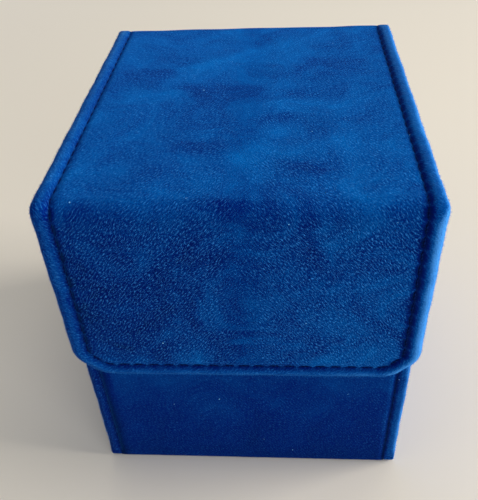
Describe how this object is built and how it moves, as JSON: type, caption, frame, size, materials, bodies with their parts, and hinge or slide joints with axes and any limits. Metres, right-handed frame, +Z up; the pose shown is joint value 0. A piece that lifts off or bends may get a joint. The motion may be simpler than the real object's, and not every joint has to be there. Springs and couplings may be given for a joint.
{
  "type": "flip lid storage box",
  "caption": "Suede-covered flip-lid storage box: an upright case whose hinged lid folds over the front into a flap with clipped corners and hidden magnets.",
  "frame": {"origin": "centre of the underside of the case", "axes": "+Z up, the flap hangs on the -Y side, +X to the right seen from the front"},
  "size_m": [0.0894, 0.1028, 0.1013],
  "materials": {
    "suede": "blue napped microfibre suede",
    "lining": "dark navy brushed lining cloth",
    "greyboard": "matt grey bookbinder's board",
    "magnet": "nickel plate",
    "thread": "twisted navy sewing thread"
  },
  "bodies": {
    "case": {"back_board": "greyboard", "back_cover": "suede", "back_lining": "lining", "base_board": "greyboard", "base_cover": "suede", "base_lining": "lining", "case_left_magnet": "magnet", "case_right_magnet": "magnet", "front_board": "greyboard", "front_cover": "suede", "front_lining": "lining", "hinge_strip": "suede", "left_board": "greyboard", "left_cover": "suede", "left_lining": "lining", "left_piping": "suede", "right_board": "greyboard", "right_cover": "suede", "right_lining": "lining", "right_piping": "suede"},
    "lid": {"top_board": "greyboard", "top_cover": "suede", "top_lining": "lining", "top_left_piping": "suede", "top_right_piping": "suede", "fold_cover": "suede", "fold_left_piping": "suede", "fold_right_piping": "suede"},
    "flap": {"flap_board": "greyboard", "flap_cover": "suede", "flap_left_magnet": "magnet", "flap_lining": "lining", "flap_piping": "suede", "flap_right_magnet": "magnet"}
  },
  "joints": [
    {"name": "lid_hinge", "type": "hinge", "parent": "case", "child": "lid", "pos_m": [0, 0.04935, 0.0971], "axis": [-1, 0, 0], "range_deg": [0, 180], "deforming": ["hinge_strip"]},
    {"name": "flap_hinge", "type": "hinge", "parent": "lid", "child": "flap", "pos_m": [0, -0.04955, 0.0972], "axis": [-1, 0, 0], "range_deg": [0, 90], "deforming": ["fold_cover", "fold_left_piping", "fold_right_piping"]}
  ]
}
